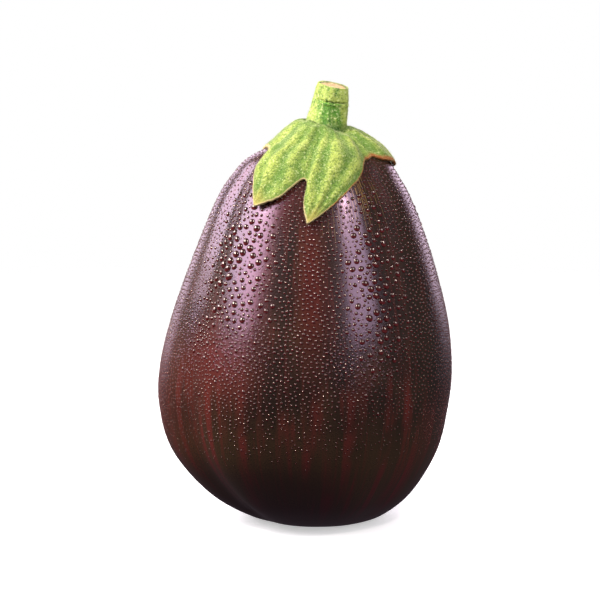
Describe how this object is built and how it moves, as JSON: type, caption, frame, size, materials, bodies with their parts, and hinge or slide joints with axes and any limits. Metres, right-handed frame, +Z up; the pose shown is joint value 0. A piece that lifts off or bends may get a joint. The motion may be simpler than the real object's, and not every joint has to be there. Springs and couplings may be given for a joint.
{
  "type": "globe eggplant",
  "caption": "Pear-shaped globe eggplant standing on its blossom end, with soft lobes, a leafy green calyx and a short cut stem.",
  "frame": {"origin": "middle of the whole eggplant's box, in the plane of the flat spot that it stands on", "axes": "+Z up from the flat spot to the cut end of the stem, -Y towards the viewer, +X to the viewer's right"},
  "size_m": [0.1176, 0.1144, 0.1758],
  "materials": {
    "skin": "waxy, near-black purple-brown skin beaded with water",
    "calyx_green": "matt and downy yellow-green, ribbed lengthwise, pale at its margins",
    "stem_green": "matt mottled green, ridged, with a pale tan cut end"
  },
  "bodies": {
    "root": {"fruit": "skin", "calyx": "calyx_green", "stem": "stem_green"}
  },
  "joints": []
}
